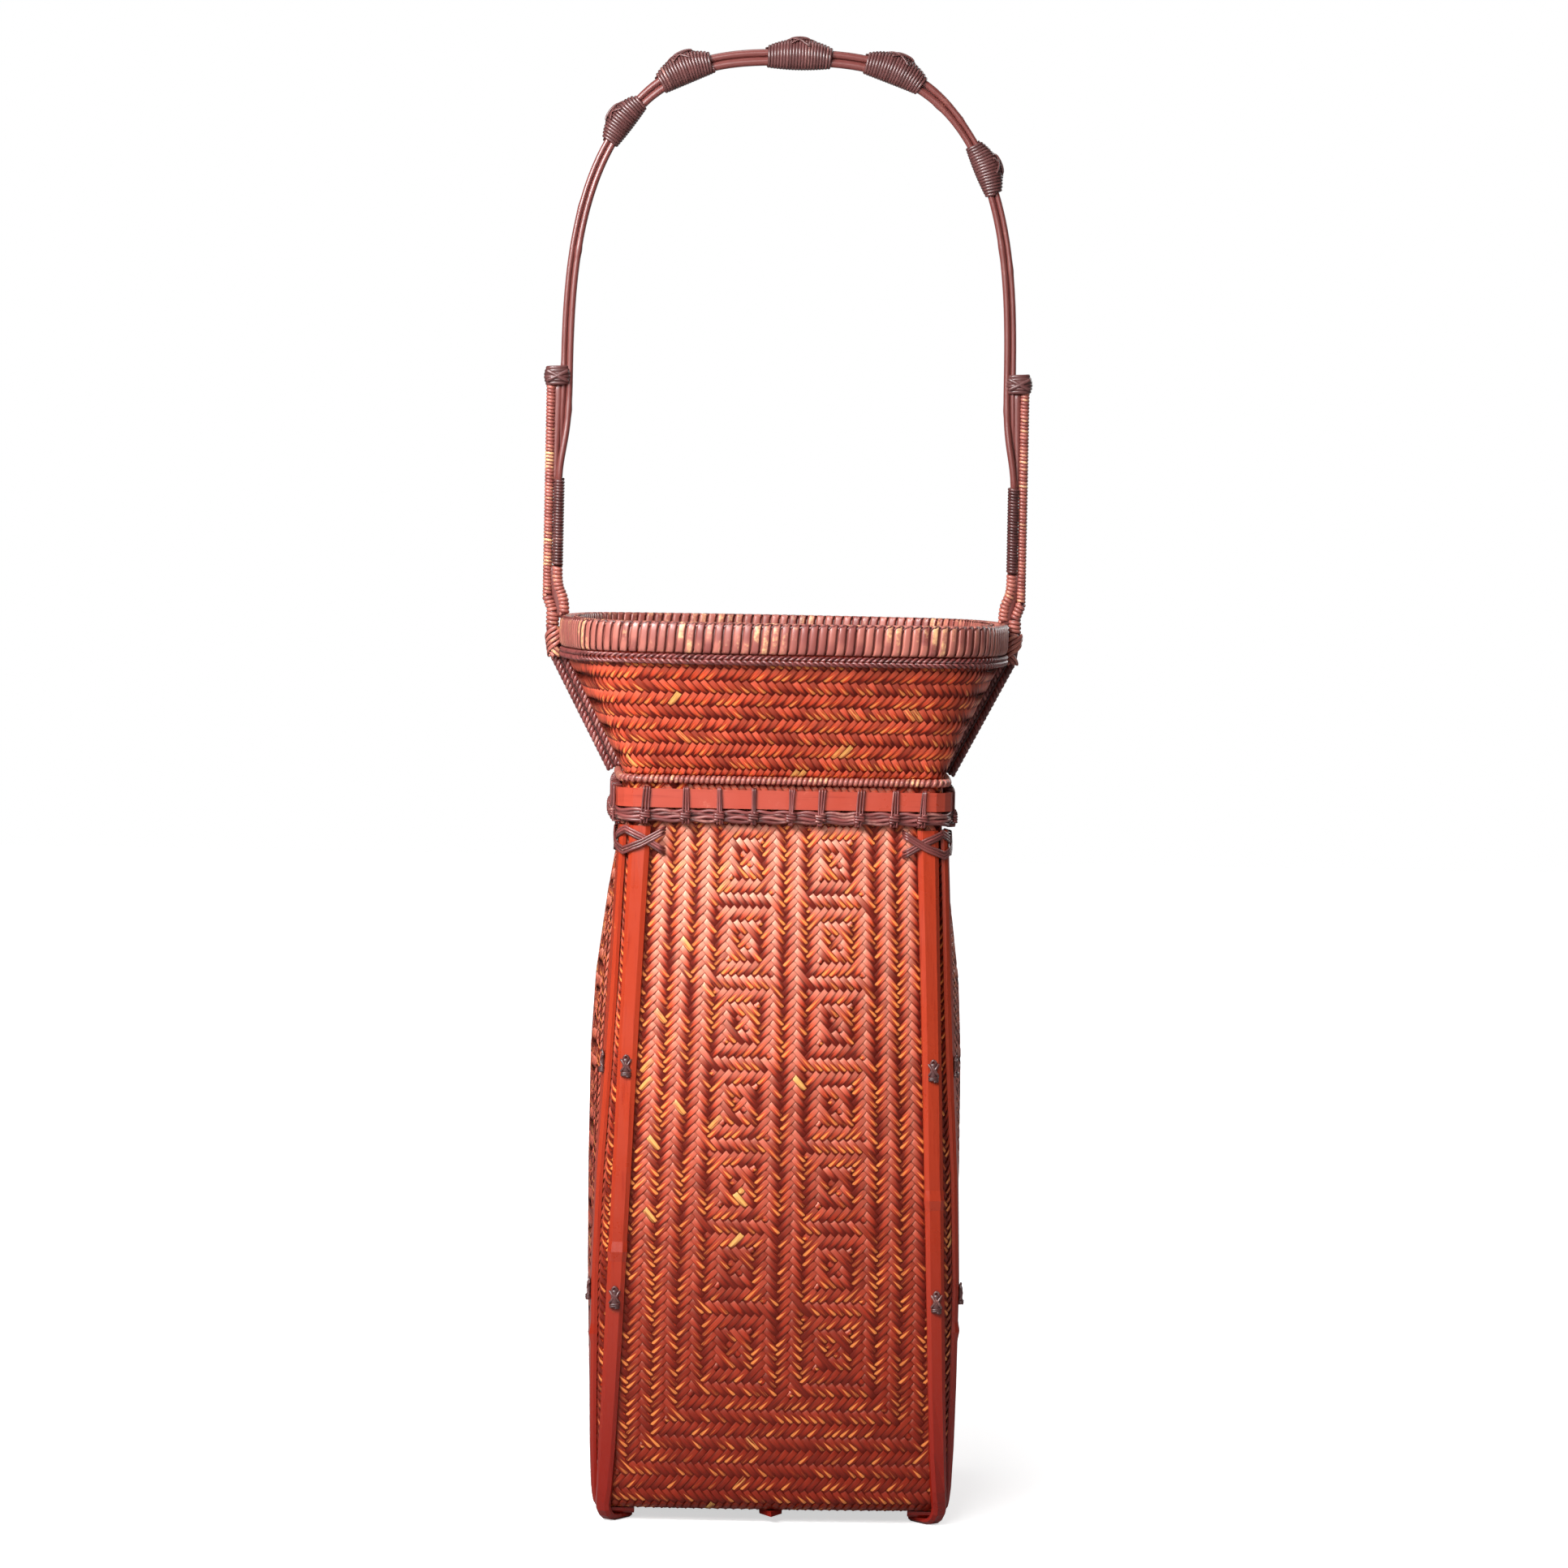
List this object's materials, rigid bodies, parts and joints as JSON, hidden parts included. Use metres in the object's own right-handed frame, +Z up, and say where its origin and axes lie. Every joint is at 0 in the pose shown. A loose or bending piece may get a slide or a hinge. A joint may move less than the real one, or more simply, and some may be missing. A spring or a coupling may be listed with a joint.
{
  "type": "ikebana basket",
  "caption": "Tall square plaited bamboo flower basket with split-bamboo corner posts, flared mouth, lashed neck, arched cane handle and a lift-out water tube.",
  "frame": {"origin": "on the ground, under the middle of the basket", "axes": "+Z up; the front looks towards -Y; the handle's arch lies in the XZ plane"},
  "size_m": [0.2038, 0.1872, 0.6001],
  "materials": {
    "plaited_bamboo": "plaited split bamboo, lacquered red-brown, worn yellow on its high spots",
    "split_bamboo": "split bamboo, lacquered orange-red, satin",
    "dark_rattan": "rattan strand, dark plum-brown, satin",
    "handle_cane": "peeled cane, pinkish brown, satin",
    "wrapped_rattan": "wound rattan strip, red-brown, worn pale on its high spots",
    "tube_bamboo": "plain bamboo culm, dry and matt"
  },
  "bodies": {
    "basket": {"body_weave": "plaited_bamboo", "corner_lashing_back_left": "dark_rattan", "corner_lashing_back_right": "dark_rattan", "corner_lashing_front_left": "dark_rattan", "corner_lashing_front_right": "dark_rattan", "handle_inner_cane": "handle_cane", "handle_knot_1": "dark_rattan", "handle_knot_2": "dark_rattan", "handle_knot_3": "dark_rattan", "handle_knot_4": "dark_rattan", "handle_knot_5": "dark_rattan", "handle_outer_cane": "handle_cane", "inner_leg_left": "wrapped_rattan", "inner_leg_right": "wrapped_rattan", "lath_crosswise": "split_bamboo", "lath_front_back": "split_bamboo", "leg_wrap_left": "dark_rattan", "leg_wrap_right": "dark_rattan", "mouth_weave": "plaited_bamboo", "neck_band": "split_bamboo", "neck_bundle": "dark_rattan", "neck_hoop": "dark_rattan", "neck_lashing": "dark_rattan", "post_back_a": "split_bamboo", "post_back_b": "split_bamboo", "post_front_a": "split_bamboo", "post_front_b": "split_bamboo", "post_left_a": "split_bamboo", "post_left_b": "split_bamboo", "post_right_a": "split_bamboo", "post_right_b": "split_bamboo", "rim_braid": "wrapped_rattan", "rim_inner_hoop": "wrapped_rattan", "rim_lashing_left": "handle_cane", "rim_lashing_right": "handle_cane", "rim_outer_hoop": "wrapped_rattan", "side_rib_left": "dark_rattan", "side_rib_right": "dark_rattan", "stay_knot_left": "dark_rattan", "stay_knot_right": "dark_rattan", "stay_left": "wrapped_rattan", "stay_right": "wrapped_rattan", "tie_back_a_1": "dark_rattan", "tie_back_a_2": "dark_rattan", "tie_back_b_1": "dark_rattan", "tie_back_b_2": "dark_rattan", "tie_front_a_1": "dark_rattan", "tie_front_a_2": "dark_rattan", "tie_front_b_1": "dark_rattan", "tie_front_b_2": "dark_rattan", "tie_left_a_1": "dark_rattan", "tie_left_a_2": "dark_rattan", "tie_left_b_1": "dark_rattan", "tie_left_b_2": "dark_rattan", "tie_right_a_1": "dark_rattan", "tie_right_a_2": "dark_rattan", "tie_right_b_1": "dark_rattan", "tie_right_b_2": "dark_rattan"},
    "water_tube": {"otoshi": "tube_bamboo"}
  },
  "joints": [
    {"name": "otoshi_lift", "type": "slide", "parent": "basket", "child": "water_tube", "axis": [0, 0, 1], "range_m": [0, 0.355]}
  ]
}
